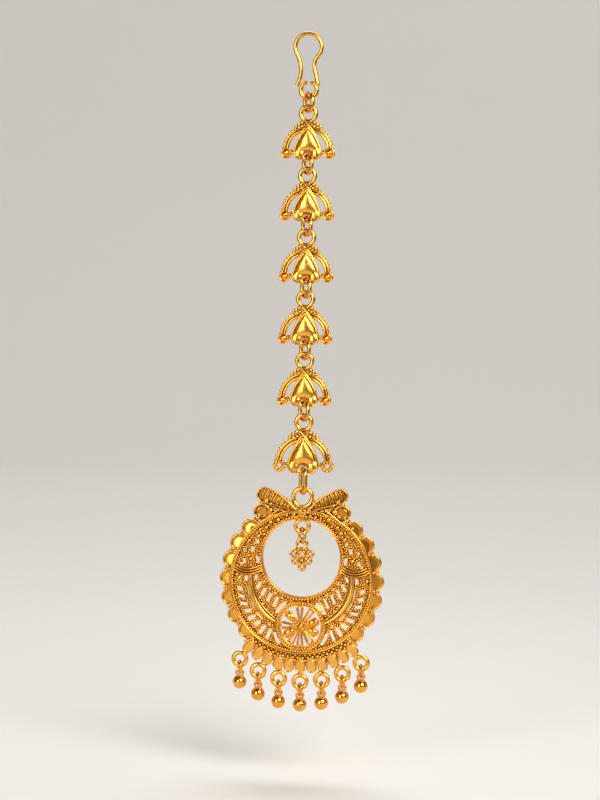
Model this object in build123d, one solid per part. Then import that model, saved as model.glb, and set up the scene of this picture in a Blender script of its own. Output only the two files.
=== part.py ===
from build123d import *
from math import acos, atan2, cos, degrees, hypot, radians, sin, sqrt
import os

# A maang tikka: a hair hook, a chain of six heart stations on oval links, and a pierced crescent
# pendant with a flower charm in its opening and seven ball drops below it.
#
# Millimetres. X runs across the jewel, the front faces -Y and Z is up. The origin is the inside of
# the hook's top, where the jewel hangs. Flat outlines are drawn in (x, z) and given a depth in Y.

# ---------------------------------------------------------------- wires that hang in each other
SEAT_GAP = 0.2              # air between two wires where one hangs in the other, at the middle
LINK_WIRE = 0.45            # radius of the chain links' wire
LINK_HALF_WIDTH = 1.75      # centreline of a link's side to its middle
LINK_HEIGHT = 3.96          # centreline to centreline, the links between stations
LINK_TURN = -53             # degrees about Z from the flat of the jewel
LAST_LINK_HEIGHT = 5.46     # the longer link that carries the pendant
LAST_LINK_HALF_WIDTH = 1.5
LAST_LINK_TURN = -62

# ---------------------------------------------------------------- hair hook
HOOK_WIRE = 0.45
HOOK_LOOP = 2.93            # radius of the round top, centreline
HOOK_WAIST_RIGHT = 1.32     # half width at the waist, to the centreline
HOOK_BEND_RIGHT = 3.02      # radius of the inward bend there
HOOK_FLARE_RIGHT = 13       # degrees from upright of the straight foot
HOOK_FOOT_RIGHT = 3.3       # length of the straight foot
HOOK_WAIST_LEFT = 1.6
HOOK_BEND_LEFT = 7.78
HOOK_FOOT_BEND_LEFT = 6.5   # radius of the free foot's outward curl
HOOK_FOOT_TURN_LEFT = 30.6  # degrees of that curl
END_RING_X = 0.2            # the open ring below the hook
END_RING_Z = -11.95
END_RING = 1.78
END_RING_WIRE = 0.46
END_RING_SLIT = 11          # half of the slit at its top, degrees

# ---------------------------------------------------------------- stations
STATION_COUNT = 6
STATION_RING = 1.66
STATION_RING_WIRE = 0.5
LAST_STATION_SIZE = 1.115   # the sixth station's body against the others
HEART_POINT = -2.85         # heights are from the centre of the station's ring
HEART_WIDEST = (3.05, -8.0)
HEART_LOBE = (1.8, -10.05)
HEART_NOTCH = -9.3
HEART_RIM = 0.45
HEART_BACK = 0.3
HEART_FACE = -0.3
HEART_RIM_FRONT = -0.75
DOME_AXIS_DEPTH = 2.52      # the heart's dome is turned about an upright line this far behind
DOME_TOP = (2.6, -3.2)      # its profile: distance from that line, and height
DOME_SHOULDER = (3.28, -4.9)
DOME_WIDEST = (3.66, -6.35)
DOME_FOOT = (3.47, -7.3)
DOME_BOTTOM = (2.6, -7.95)
LOBE_BOSS = 1.15            # radius of the round boss in each lobe
LOBE_BOSS_PLACE = (1.75, -8.75)
LOWER_RING_Z = -8.75        # ring under the heart that the next link hangs in
LOWER_RING = 1.3
LOWER_RING_WIRE = 0.34
LINK_ROOM = 1.65            # radius cleared in front of that ring for the link's bend
CANOPY_CENTRE = -8.0        # the two arched arms over the heart
CANOPY_INNER = 4.2
CANOPY_OUTER = 5.35
CANOPY_FRONT = -0.55
CANOPY_BACK = 0.4
CANOPY_SPAN = (0, 74)       # degrees from +X where each arm ends and where it meets the neck
ARM_BALL = 0.88
ARM_COLLAR = 0.95
ARM_COLLAR_WIRE = 0.28
ARM_END = (4.78, -8.6)
ARM_CURL = 0.85             # the open curls of the last station, in place of the balls
ARM_CURL_WIRE = 0.42

# ---------------------------------------------------------------- crescent pendant
# Heights are from the centre of its round opening.
OPENING = 8.6
OPENING_BAND = 0.6
RIM_CENTRE = -5.28
RIM = 15.95
RIM_BAND = 0.7
PLATE_FRONT = -0.4
PLATE_BACK = 0.35
RELIEF_FRONT = -0.85
BAIL_Z = 13.3
BAIL = 2.08
BAIL_WIRE = 0.52
LEAF_TIP = (8.4, 13.75)     # centre of the round tip of each leaf of the bow
LEAF_TIP_RADIUS = 1.75
LEAF_TIP_END = -65          # degrees from +X where the tip meets the leaf's lower edge
LEAF_ROOT_TOP = (1.2, 10.5)
LEAF_ROOT_BOTTOM = (1.2, 9.9)
LEAF_TOP_BEND = (4.4, 13.55)
LEAF_BOTTOM_BEND = (5.6, 11.3)
LOBE = (8.9, 9.95)
LOBE_RADIUS = 1.9
LOBE_ROOT = (7.6, 10.7)     # the web that joins the leaf and the lobe starts here
BOW_RIM = 0.35
BOW_BALL = (7.2, 10.2)
BOW_BALL_RADIUS = 0.95
KNOT_Z = 10.1
KNOT = 0.95
ROSETTE_Z = -15.1
ROSETTE_BAND_INNER = 4.6
ROSETTE_BAND_OUTER = 5.5
ROSETTE_FRONT = -0.7
ROSETTE_HUB = 1.1
ROSETTE_BOSS = 0.85
PETAL_WALL = 0.34
BLADE_OUTER = ((11.5, -3.6), (10.4, -10.5), (5.1, -14.55))
BLADE_INNER = ((5.1, -14.3), (9.45, -10.0), (10.95, -3.6))
BAR_CENTRE = (11.9, 1.9)    # the three bowed wires across each horn
BAR_RADII = (4.6, 5.15, 5.7)
BAR_WIRE = 0.19
BAR_SPAN = (-124, -56)
SET_BACK_FRONT = 0.05       # front face of the polished plates round the rim
SCALLOP_CENTRE = 16.35      # from the rim's centre
SCALLOP_LOOP = 1.78
SCALLOP_WIRE = 0.22
SCALLOP_PLATE = 1.62
SCALLOP_FIRST = 47.5        # degrees from straight down
SCALLOP_PITCH = 14.6
SCALLOPS_EACH_SIDE = 7
SKIRT_INNER = 15.4
SKIRT_OUTER = 18.7
SKIRT_HALF_ANGLE = 43
TONGUE_PITCH = 7.6          # the eleven long plates at the bottom
TONGUES_EACH_SIDE = 5
TONGUE_START = 18.2
TONGUE_END = 19.25
TONGUE_RADIUS = 1.08

# ---------------------------------------------------------------- charm and ball drops
CHARM_RING_Z = 7.0
CHARM_RING = 1.475
CHARM_RING_WIRE = 0.465
CHARM_LINK_WIRE = 0.32
CHARM_LINK_HALF_WIDTH = 1.25
CHARM_LINK_TURN = -54
CHARM_EYE_Z = 3.1
CHARM_EYE = 1.09
CHARM_EYE_WIRE = 0.34
CHARM_FRONT = -0.3
CHARM_BACK = 0.3
DROP_CENTRE = 22.2          # from the rim's centre to each drop ring
DROP_PITCH = 12.5
DROPS_EACH_SIDE = 3
DROP_RING = 1.425
DROP_RING_WIRE = 0.5
DROP_SHANK = 0.25           # half the thickness of the bar that holds each drop ring
DROP_SHANK_REACH = (17, 20.7)
DROP_SHANK_WIDTH = (0.35, 0.3)
DROP_LINK_WIRE = 0.28
DROP_LINK_HALF_WIDTH = 1.0
DROP_LINK_TURN = -62
DROP_EYE = 0.75
DROP_EYE_WIRE = 0.24
DROP_EYE_Z = -3.03          # below the drop ring's centre
DROP_BALL = 1.54
DROP_BALL_Z = -5.07
DROP_COLLAR = 0.62
DROP_COLLAR_HEIGHT = 0.4
JOIN = 0.2                  # how far soldered solids run into each other

# Fans of slots: centre height, radius of the row, degrees from straight down of the first slot,
# pitch, count, length and width of the first slot, growth of the length per slot, how far the first
# slot leans from its own radius towards upright, and how the lean grows. Each fan is mirrored.
FANS = [
    # centre      radius first pitch count length width growth lean turn
    (0.0,         11.4,  29.5, 8.8,  4,    2.3,   0.72, -0.16,  5,   7),
    (RIM_CENTRE,  13.75, 31.0, 7.3,  8,    2.55,  0.8,  -0.18,  8,  -7),
    (RIM_CENTRE,  11.9,  36.0, 0.0,  1,    0.6,   0.5,   0.0,   0,   0),
    (RIM_CENTRE,  9.9,   41.0, 9.0,  4,    0.6,   0.5,   0.0,   0,   0),
    (0.0,         9.8,   25.6, 10.2, 4,    0.55,  0.45,  0.0,   0,   0),
]

# Curved slots that hug the rosette, mirrored: radii about its centre, and degrees from +X.
ROSETTE_GAPS = [
    # inner outer first last
    (5.7,   6.45, 27,   57),
    (5.7,   6.45, -41,  -15),
]

# Single gaps of the horns, the blades and the bow, mirrored: place, length, width, angle from X.
SINGLE_GAPS = [
    # x      z      length width angle
    (9.75,  -0.6,   1.6,   0.85, 80),
    (12.75, -1.0,   1.0,   0.7,  60),
    (13.4,  -1.75,  0.7,   0.6,  60),
    (10.9,   1.6,   1.2,   0.85, 110),
    (9.9,    3.4,   1.0,   0.8,  110),
    (12.6,   1.3,   0.7,   0.6,  100),
    (10.1,  -4.6,   1.3,   0.75, 110),
    (12.3,  -4.85,  1.3,   0.8,  105),
    (11.85, -7.75,  2.2,   0.36, 79),
    (10.8,  -10.55, 2.3,   0.34, 62),
    (9.15,  -12.95, 1.8,   0.32, 48),
    (5.75,  10.65,  0.8,   0.4,  12),
    (4.4,   10.4,   0.6,   0.35, 12),
]

# Petals of the rosette: angle from X, reach, radius of the rounded tip, and whether it is pierced.
PETALS = [
    # angle reach tip  pierced
    (93,    4.65, 0.72, True),
    (55,    4.65, 0.7,  True),
    (17,    4.2,  0.95, False),
    (-22,   4.2,  0.95, False),
    (-57,   4.65, 0.75, True),
    (-91,   4.65, 0.68, True),
    (-120,  4.65, 0.7,  True),
    (-150,  4.2,  0.95, False),
    (178,   4.65, 0.78, True),
    (137,   4.4,  0.85, False),
]

# Rings of the flower charm: place, outer radius and hole.
CHARM_RINGS = [
    # x      z      outer hole
    (-1.85,  0.85,  0.9,  0.35),
    (1.9,    0.85,  0.9,  0.35),
    (-1.45, -0.72,  0.88, 0.32),
    (1.5,   -0.72,  0.88, 0.32),
    (0.05,  -2.0,   0.95, 0.35),
    (0.05,   0.85,  0.9,  0.4),
    (-0.85,  1.85,  0.62, 0.2),
    (0.9,    1.8,   0.62, 0.2),
    (0.02,  -0.55,  0.8,  0.2),
]


# ---------------------------------------------------------------- shared shapes
def around(centre_z, radius, angle):
    """Point on a circle about (0, centre_z); the angle is in degrees from +X."""
    return (radius * cos(radians(angle)), centre_z + radius * sin(radians(angle)))


def tapered(start, start_radius, end, end_radius):
    """Flat bar round two circles, with straight sides that touch both."""
    run = hypot(end[0] - start[0], end[1] - start[1])
    heading = degrees(atan2(end[1] - start[1], end[0] - start[0]))
    swing = degrees(acos((start_radius - end_radius) / run))

    def at(centre, radius, angle):
        return (centre[0] + radius * cos(radians(angle)), centre[1] + radius * sin(radians(angle)))

    start_left = at(start, start_radius, heading + swing)
    start_right = at(start, start_radius, heading - swing)
    end_left = at(end, end_radius, heading + swing)
    end_right = at(end, end_radius, heading - swing)
    return make_face([
        Line(start_left, end_left),
        ThreePointArc(end_left, at(end, end_radius, heading), end_right),
        Line(end_right, start_right),
        ThreePointArc(start_right, at(start, start_radius, heading + 180), start_left),
    ])


def slot(x, z, length, width, angle):
    """Round-ended slot about (x, z)."""
    reach = (length - width) / 2
    across = reach * cos(radians(angle))
    up = reach * sin(radians(angle))
    return tapered((x - across, z - up), width / 2, (x + across, z + up), width / 2)


def arc_band(centre, inner, outer, first, last):
    """Part of a flat ring between two angles."""
    def at(radius, angle):
        return (centre[0] + radius * cos(radians(angle)), centre[1] + radius * sin(radians(angle)))

    middle = (first + last) / 2
    return make_face([
        Line(at(inner, first), at(outer, first)),
        ThreePointArc(at(outer, first), at(outer, middle), at(outer, last)),
        Line(at(outer, last), at(inner, last)),
        ThreePointArc(at(inner, last), at(inner, middle), at(inner, first)),
    ])


def disc(x, z, radius):
    return Pos(x, z) * Circle(radius)


def flat_ring(x, z, outer, inner):
    return disc(x, z, outer) - disc(x, z, inner)


def mirrored(shape):
    """A flat shape and its mirror image across the jewel's middle."""
    return [shape, mirror(shape, about=Plane.YZ)]


def slab(outline, front, back):
    """Solid of a flat outline between two depths."""
    return extrude(Plane.XZ.offset(-back) * outline, amount=back - front, dir=(0, -1, 0))


def ring(x, z, radius, wire, depth=0):
    """Ring of round wire that stands in the flat of the jewel."""
    return Pos(x, depth, z) * Rot(90, 0, 0) * Torus(radius, wire)


def wire_along(wire, edges):
    """Round wire along edges drawn in the flat of the jewel."""
    path = Plane.XZ * Wire(edges)
    section = Plane(origin=path @ 0, z_dir=path % 0) * Circle(wire)
    return sweep(section, path=path)


def oval_link(top, bottom, half_width, wire, turn):
    """Oval link between two centreline heights, turned about its upright middle line."""
    upper = top - half_width
    lower = bottom + half_width
    flat_link = wire_along(wire, [
        Line((half_width, lower), (half_width, upper)),
        CenterArc((0, upper), half_width, 0, 180),
        Line((-half_width, upper), (-half_width, lower)),
        CenterArc((0, lower), half_width, 180, 180),
    ])
    return Rot(0, 0, turn) * flat_link


# ---------------------------------------------------------------- hair hook
def hair_hook():
    """Open wire loop whose right foot is soldered to a slit ring; its left foot is the mouth."""
    loop_z = HOOK_WIRE - HOOK_LOOP

    def bend_centre(side, waist, bend):
        drop = sqrt((HOOK_LOOP + bend) ** 2 - (waist + bend) ** 2)
        return (side * (waist + bend), loop_z - drop)

    right = bend_centre(1, HOOK_WAIST_RIGHT, HOOK_BEND_RIGHT)
    left = bend_centre(-1, HOOK_WAIST_LEFT, HOOK_BEND_LEFT)
    right_touch = degrees(atan2(right[1] - loop_z, right[0]))
    left_touch = degrees(atan2(left[1] - loop_z, left[0])) + 360
    foot = radians(180 + HOOK_FLARE_RIGHT)
    foot_top = (right[0] + HOOK_BEND_RIGHT * cos(foot), right[1] + HOOK_BEND_RIGHT * sin(foot))
    foot_end = (foot_top[0] - HOOK_FOOT_RIGHT * sin(foot), foot_top[1] + HOOK_FOOT_RIGHT * cos(foot))
    curl = (-HOOK_WAIST_LEFT - HOOK_FOOT_BEND_LEFT, left[1])
    hook = wire_along(HOOK_WIRE, [
        Line(foot_end, foot_top),
        CenterArc(right, HOOK_BEND_RIGHT, 180 + HOOK_FLARE_RIGHT, right_touch - HOOK_FLARE_RIGHT),
        CenterArc((0, loop_z), HOOK_LOOP, right_touch, left_touch - right_touch),
        CenterArc(left, HOOK_BEND_LEFT, left_touch - 180, 180 - left_touch),
        CenterArc(curl, HOOK_FOOT_BEND_LEFT, 0, -HOOK_FOOT_TURN_LEFT),
    ])
    slit_ring = wire_along(END_RING_WIRE, [
        CenterArc((END_RING_X, END_RING_Z), END_RING, 90 + END_RING_SLIT, 360 - 2 * END_RING_SLIT),
    ])
    return hook + slit_ring


# ---------------------------------------------------------------- stations
def heart():
    """Flat heart with its point up."""
    right_edges = [
        ThreePointArc((0, HEART_POINT), (2.05, -5.3), HEART_WIDEST),
        ThreePointArc(HEART_WIDEST, (2.7, -9.55), HEART_LOBE),
        ThreePointArc(HEART_LOBE, (0.85, -9.8), (0, HEART_NOTCH)),
    ]
    left_edges = [mirror(edge, about=Plane.YZ) for edge in right_edges]
    return make_face(right_edges + left_edges)


def dome():
    """Swollen face of the heart: a turned solid far behind it, kept within the raised rim."""
    profile = make_face([
        Line((0, DOME_TOP[1]), DOME_TOP),
        ThreePointArc(DOME_TOP, DOME_SHOULDER, DOME_WIDEST),
        ThreePointArc(DOME_WIDEST, DOME_FOOT, DOME_BOTTOM),
        Line(DOME_BOTTOM, (0, DOME_BOTTOM[1])),
        Line((0, DOME_BOTTOM[1]), (0, DOME_TOP[1])),
    ])
    turned = revolve(Plane.XZ * profile, axis=Axis.Z)
    within = slab(offset(heart(), -HEART_RIM / 2), -DOME_WIDEST[0], HEART_BACK)
    return Pos(0, DOME_AXIS_DEPTH, 0) * turned & within


def lobe_bosses():
    x, z = LOBE_BOSS_PLACE
    behind = Pos(0, 5 + HEART_BACK, z) * Box(10, 10, 10)
    return [Pos(side * x, HEART_BACK, z) * Sphere(LOBE_BOSS) - behind for side in (-1, 1)]


def heart_setting():
    """Stamped heart with a raised rim, a dome and two lobes, cut open for the link below."""
    outline = heart()
    floor = slab(outline, HEART_FACE, HEART_BACK)
    rim = slab(outline - offset(outline, -HEART_RIM), HEART_RIM_FRONT, HEART_BACK)
    solid = floor + [rim, dome(), *lobe_bosses()]
    through = slab(disc(0, LOWER_RING_Z, LOWER_RING), -3, 3)
    link_room = slab(disc(0, LOWER_RING_Z, LINK_ROOM), -3, HEART_FACE)
    return solid - [through, link_room]


def canopy():
    """Arched arms from the neck down to the two ends, with bars to the heart."""
    arms = mirrored(arc_band((0, CANOPY_CENTRE), CANOPY_INNER, CANOPY_OUTER, *CANOPY_SPAN))
    shoulders = mirrored(tapered((0, -2.6), 0.75, (1.75, -3.15), 0.6))
    bars = mirrored(tapered((2.7, -8.3), 0.4, (3.9, -8.5), 0.3))
    outline = Sketch() + arms + shoulders + bars
    return slab(outline, CANOPY_FRONT, CANOPY_BACK)


def ball_ends():
    """Ball in a wire collar at the foot of each arm."""
    pieces = []
    for side in (-1, 1):
        x = side * ARM_END[0]
        pieces.append(Pos(x, -0.2, ARM_END[1]) * Sphere(ARM_BALL))
        pieces.append(ring(x, ARM_END[1], ARM_COLLAR, ARM_COLLAR_WIRE))
    return pieces


def curled_ends():
    """Thick open curl at the foot of each arm of the last station."""
    return [ring(side * ARM_END[0], ARM_END[1], ARM_CURL, ARM_CURL_WIRE) for side in (-1, 1)]


def station_body(ends):
    lower_ring = ring(0, LOWER_RING_Z, LOWER_RING, LOWER_RING_WIRE)
    return heart_setting() + [canopy(), lower_ring, *ends]


def station(number):
    """One soldered station, with the centre of its upper ring at the origin."""
    upper_ring = ring(0, 0, STATION_RING, STATION_RING_WIRE)
    if number == STATION_COUNT:
        body = scale(station_body(curled_ends()), by=LAST_STATION_SIZE)
    else:
        body = station_body(ball_ends())
    return upper_ring + body


# ---------------------------------------------------------------- crescent pendant
def fan_gaps():
    gaps = []
    for centre, radius, first, pitch, count, length, width, growth, lean, turn in FANS:
        for step in range(count):
            angle = first + step * pitch - 90
            x, z = around(centre, radius, angle)
            gaps += mirrored(slot(x, z, length + growth * step, width, angle - lean - turn * step))
    return gaps


def rosette_gaps():
    gaps = []
    for row in ROSETTE_GAPS:
        gaps += mirrored(arc_band((0, ROSETTE_Z), *row))
    return gaps


def single_gaps():
    gaps = []
    for x, z, length, width, angle in SINGLE_GAPS:
        gaps += mirrored(slot(x, z, length, width, angle))
    return gaps


def leaf():
    """Broad leaf of the bow, from the knot out to its round tip."""
    x, z = LEAF_TIP
    tip_top = (x, z + LEAF_TIP_RADIUS)
    tip_side = (x + LEAF_TIP_RADIUS, z)
    end_x, end_z = around(z, LEAF_TIP_RADIUS, LEAF_TIP_END)
    tip_bottom = (x + end_x, end_z)
    return make_face([
        ThreePointArc(LEAF_ROOT_TOP, LEAF_TOP_BEND, tip_top),
        ThreePointArc(tip_top, tip_side, tip_bottom),
        ThreePointArc(tip_bottom, LEAF_BOTTOM_BEND, LEAF_ROOT_BOTTOM),
        Line(LEAF_ROOT_BOTTOM, LEAF_ROOT_TOP),
    ])


def bow():
    """Two ribbed leaves and two round lobes either side of the bail."""
    lobes = mirrored(disc(*LOBE, LOBE_RADIUS))
    webs = mirrored(tapered(LOBE_ROOT, 1.3, LEAF_ROOT_BOTTOM, 0.5))
    return [*mirrored(leaf()), *lobes, *webs, disc(0, KNOT_Z + 0.4, 1.2)]


def pierced_plate():
    """Crescent with its bow, cut through by every gap."""
    plate = disc(0, RIM_CENTRE, RIM - JOIN) + bow()
    plate = plate - [disc(0, 0, OPENING + JOIN), disc(0, ROSETTE_Z, ROSETTE_BAND_INNER + JOIN)]
    plate = plate - (fan_gaps() + rosette_gaps() + single_gaps())
    return slab(plate, PLATE_FRONT, PLATE_BACK)


def rims():
    """Raised bands round the opening, the crescent and the rosette."""
    bands = [
        flat_ring(0, 0, OPENING + OPENING_BAND, OPENING),
        flat_ring(0, RIM_CENTRE, RIM, RIM - RIM_BAND),
        flat_ring(0, ROSETTE_Z, ROSETTE_BAND_OUTER, ROSETTE_BAND_INNER),
    ]
    return [slab(band, RELIEF_FRONT, PLATE_BACK) for band in bands]


def rosette():
    """Open wire flower: long petals from a hub, some pierced, some filled."""
    outline = Sketch() + disc(0, ROSETTE_Z, ROSETTE_HUB)
    centres = []
    for angle, reach, tip, pierced in PETALS:
        end = around(ROSETTE_Z, reach - tip, angle)
        outline += tapered(around(ROSETTE_Z, 0.9, angle), 0.3, end, tip)
        if pierced:
            centres.append(tapered(around(ROSETTE_Z, 1.7, angle), 0.12, end, tip - PETAL_WALL))
    boss = Pos(0, -0.3, ROSETTE_Z) * Sphere(ROSETTE_BOSS)
    return [slab(outline - centres, ROSETTE_FRONT, PLATE_BACK), boss]


def blades():
    """Polished curved blades, broadest low down."""
    blade = make_face([
        ThreePointArc(*BLADE_OUTER),
        Line(BLADE_OUTER[-1], BLADE_INNER[0]),
        ThreePointArc(*BLADE_INNER),
        Line(BLADE_INNER[-1], BLADE_OUTER[0]),
    ])
    return [slab(side, RELIEF_FRONT, PLATE_BACK) for side in mirrored(blade)]


def bars():
    """Three nested bowed wires across each horn."""
    solids = []
    for radius in BAR_RADII:
        band = arc_band(BAR_CENTRE, radius - BAR_WIRE, radius + BAR_WIRE, *BAR_SPAN)
        solids += [slab(side, RELIEF_FRONT, PLATE_BACK) for side in mirrored(band)]
    return solids


def bow_relief():
    """Raised edge of each leaf and lobe of the bow, a ball between them, and the knot."""
    edges = [leaf() - offset(leaf(), -BOW_RIM), flat_ring(*LOBE, LOBE_RADIUS, LOBE_RADIUS - BOW_RIM)]
    solids = [slab(side, RELIEF_FRONT, PLATE_BACK) for edge in edges for side in mirrored(edge)]
    x, z = BOW_BALL
    solids += [Pos(side * x, 0, z) * Sphere(BOW_BALL_RADIUS) for side in (-1, 1)]
    solids.append(slab(disc(0, KNOT_Z, KNOT), RELIEF_FRONT - 0.15, PLATE_BACK))
    return solids


def scallops():
    """Round polished plates in wire loops up both sides of the rim."""
    solids = []
    for step in range(SCALLOPS_EACH_SIDE):
        angle = SCALLOP_FIRST + step * SCALLOP_PITCH - 90
        x, z = around(RIM_CENTRE, SCALLOP_CENTRE, angle)
        for side in (-1, 1):
            solids.append(slab(disc(side * x, z, SCALLOP_PLATE), SET_BACK_FRONT, PLATE_BACK))
            solids.append(ring(side * x, z, SCALLOP_LOOP, SCALLOP_WIRE, depth=0.1))
    return solids


def skirt():
    """Band below the rim that carries the long plates and the shanks of the drop rings."""
    half = SKIRT_HALF_ANGLE
    outline = Sketch() + arc_band((0, RIM_CENTRE), SKIRT_INNER, SKIRT_OUTER, -90 - half, half - 90)
    for step in range(-TONGUES_EACH_SIDE, TONGUES_EACH_SIDE + 1):
        angle = step * TONGUE_PITCH - 90
        start = around(RIM_CENTRE, TONGUE_START, angle)
        outline += tapered(start, TONGUE_RADIUS, around(RIM_CENTRE, TONGUE_END, angle), TONGUE_RADIUS)
    shanks = Sketch()
    for step in range(-DROPS_EACH_SIDE, DROPS_EACH_SIDE + 1):
        top, bottom = [around(RIM_CENTRE, reach, step * DROP_PITCH - 90) for reach in DROP_SHANK_REACH]
        shanks += tapered(top, DROP_SHANK_WIDTH[0], bottom, DROP_SHANK_WIDTH[1])
    return [slab(outline, SET_BACK_FRONT, PLATE_BACK), slab(shanks, -DROP_SHANK, DROP_SHANK)]


def drop_places():
    steps = range(-DROPS_EACH_SIDE, DROPS_EACH_SIDE + 1)
    return [around(RIM_CENTRE, DROP_CENTRE, step * DROP_PITCH - 90) for step in steps]


def pendant_frame():
    """Everything of the pendant that is soldered together."""
    relief = rims() + rosette() + blades() + bars() + bow_relief()
    frame = pierced_plate() + (relief + scallops() + skirt())
    rings = [ring(0, BAIL_Z, BAIL, BAIL_WIRE), ring(0, CHARM_RING_Z, CHARM_RING, CHARM_RING_WIRE)]
    rings += [ring(x, z, DROP_RING, DROP_RING_WIRE) for x, z in drop_places()]
    for soldered in rings:
        frame = frame + soldered
    return frame


# ---------------------------------------------------------------- charm and drops
def flower_charm():
    """Cluster of little rings under an eye."""
    outline = Sketch() + [disc(x, z, outer) for x, z, outer, hole in CHARM_RINGS]
    outline = outline - [disc(x, z, hole) for x, z, outer, hole in CHARM_RINGS]
    return slab(outline, CHARM_FRONT, CHARM_BACK) + ring(0, CHARM_EYE_Z, CHARM_EYE, CHARM_EYE_WIRE)


def charm_link():
    top = CHARM_RING_Z - CHARM_RING + CHARM_RING_WIRE + CHARM_LINK_WIRE + SEAT_GAP
    bottom = CHARM_EYE_Z + CHARM_EYE - CHARM_EYE_WIRE - CHARM_LINK_WIRE - SEAT_GAP
    return oval_link(top, bottom, CHARM_LINK_HALF_WIDTH, CHARM_LINK_WIRE, CHARM_LINK_TURN)


def drop_link():
    top = DROP_RING_WIRE + DROP_LINK_WIRE + SEAT_GAP - DROP_RING
    bottom = DROP_EYE_Z + DROP_EYE - DROP_EYE_WIRE - DROP_LINK_WIRE - SEAT_GAP
    return oval_link(top, bottom, DROP_LINK_HALF_WIDTH, DROP_LINK_WIRE, DROP_LINK_TURN)


def drop_ball():
    """Hollow-looking round ball with a collar and an eye."""
    ball = Pos(0, 0, DROP_BALL_Z) * Sphere(DROP_BALL)
    collar = Pos(0, 0, DROP_BALL_Z + DROP_BALL - JOIN / 2) * Cylinder(DROP_COLLAR, DROP_COLLAR_HEIGHT)
    return ball + [collar, ring(0, DROP_EYE_Z, DROP_EYE, DROP_EYE_WIRE)]


# ---------------------------------------------------------------- the jewel, hung piece by piece
def build():
    """Every node by name, each placed from the one it hangs in."""
    nodes = {"hair_hook": hair_hook()}
    link_x = END_RING_X
    seat = END_RING_Z - END_RING + END_RING_WIRE
    for number in range(1, STATION_COUNT + 1):
        top = seat + LINK_WIRE + SEAT_GAP
        bottom = top - LINK_HEIGHT
        link = oval_link(top, bottom, LINK_HALF_WIDTH, LINK_WIRE, LINK_TURN)
        nodes[f"chain_link_{number}"] = Pos(link_x, 0, 0) * link
        ring_top = bottom + LINK_WIRE + SEAT_GAP + STATION_RING_WIRE
        centre = ring_top - STATION_RING
        nodes[f"station_{number}"] = Pos(link_x, 0, centre) * station(number)
        size = LAST_STATION_SIZE if number == STATION_COUNT else 1
        seat = centre + (LOWER_RING_Z - LOWER_RING + LOWER_RING_WIRE) * size
    top = seat + LINK_WIRE + SEAT_GAP
    bottom = top - LAST_LINK_HEIGHT
    last_link = oval_link(top, bottom, LAST_LINK_HALF_WIDTH, LINK_WIRE, LAST_LINK_TURN)
    nodes[f"chain_link_{STATION_COUNT + 1}"] = Pos(link_x, 0, 0) * last_link
    bail_top = bottom + LINK_WIRE + SEAT_GAP + BAIL_WIRE
    pendant = Pos(link_x, 0, bail_top - BAIL - BAIL_Z)
    print(f"swing axis: x {link_x:.3f}, z {bail_top:.3f}; opening centre z {bail_top - BAIL - BAIL_Z:.3f}")
    nodes["pendant_frame"] = pendant * pendant_frame()
    nodes["charm_link"] = pendant * charm_link()
    nodes["flower_charm"] = pendant * flower_charm()
    for number, (x, z) in enumerate(drop_places(), 1):
        nodes[f"drop_link_{number}"] = pendant * Pos(x, 0, z) * drop_link()
        nodes[f"drop_ball_{number}"] = pendant * Pos(x, 0, z) * drop_ball()
    return nodes


os.makedirs("parts", exist_ok=True)
for name, solid in build().items():
    export_step(solid, f"parts/{name}.step")
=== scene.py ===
from math import atan2, cos, degrees, hypot, pi, radians, sin, sqrt

import bpy
import numpy as np
from mathutils import Matrix, Vector
from mathutils.bvhtree import BVHTree


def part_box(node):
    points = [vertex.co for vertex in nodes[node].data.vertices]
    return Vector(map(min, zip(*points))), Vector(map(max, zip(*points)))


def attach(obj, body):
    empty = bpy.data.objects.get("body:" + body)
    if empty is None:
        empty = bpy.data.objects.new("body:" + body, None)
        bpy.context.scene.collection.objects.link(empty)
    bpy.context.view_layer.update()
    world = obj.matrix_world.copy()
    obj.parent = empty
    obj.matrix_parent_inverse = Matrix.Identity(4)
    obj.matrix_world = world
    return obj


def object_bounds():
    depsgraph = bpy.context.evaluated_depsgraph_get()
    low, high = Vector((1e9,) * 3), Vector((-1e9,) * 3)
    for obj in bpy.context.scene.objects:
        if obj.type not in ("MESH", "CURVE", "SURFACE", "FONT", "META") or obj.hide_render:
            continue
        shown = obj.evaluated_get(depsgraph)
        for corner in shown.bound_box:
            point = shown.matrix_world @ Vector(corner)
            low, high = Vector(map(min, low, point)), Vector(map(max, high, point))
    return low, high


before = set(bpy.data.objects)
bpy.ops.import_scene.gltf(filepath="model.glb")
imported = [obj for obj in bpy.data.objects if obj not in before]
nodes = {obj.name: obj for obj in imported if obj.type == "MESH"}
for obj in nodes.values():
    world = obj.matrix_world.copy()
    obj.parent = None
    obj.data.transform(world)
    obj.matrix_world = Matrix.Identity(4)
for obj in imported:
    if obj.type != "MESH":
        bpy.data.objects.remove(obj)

# A maang tikka in high-karat gold: a wire hook, a chain of six heart stations, and a pierced
# crescent pendant with a rosette, a flower charm and seven ball drops. Every new piece is soldered
# filigree on a CAD node: wires, granules and small plates. Sizes are in millimetres.
MM = 0.001
cad_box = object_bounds()


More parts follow.
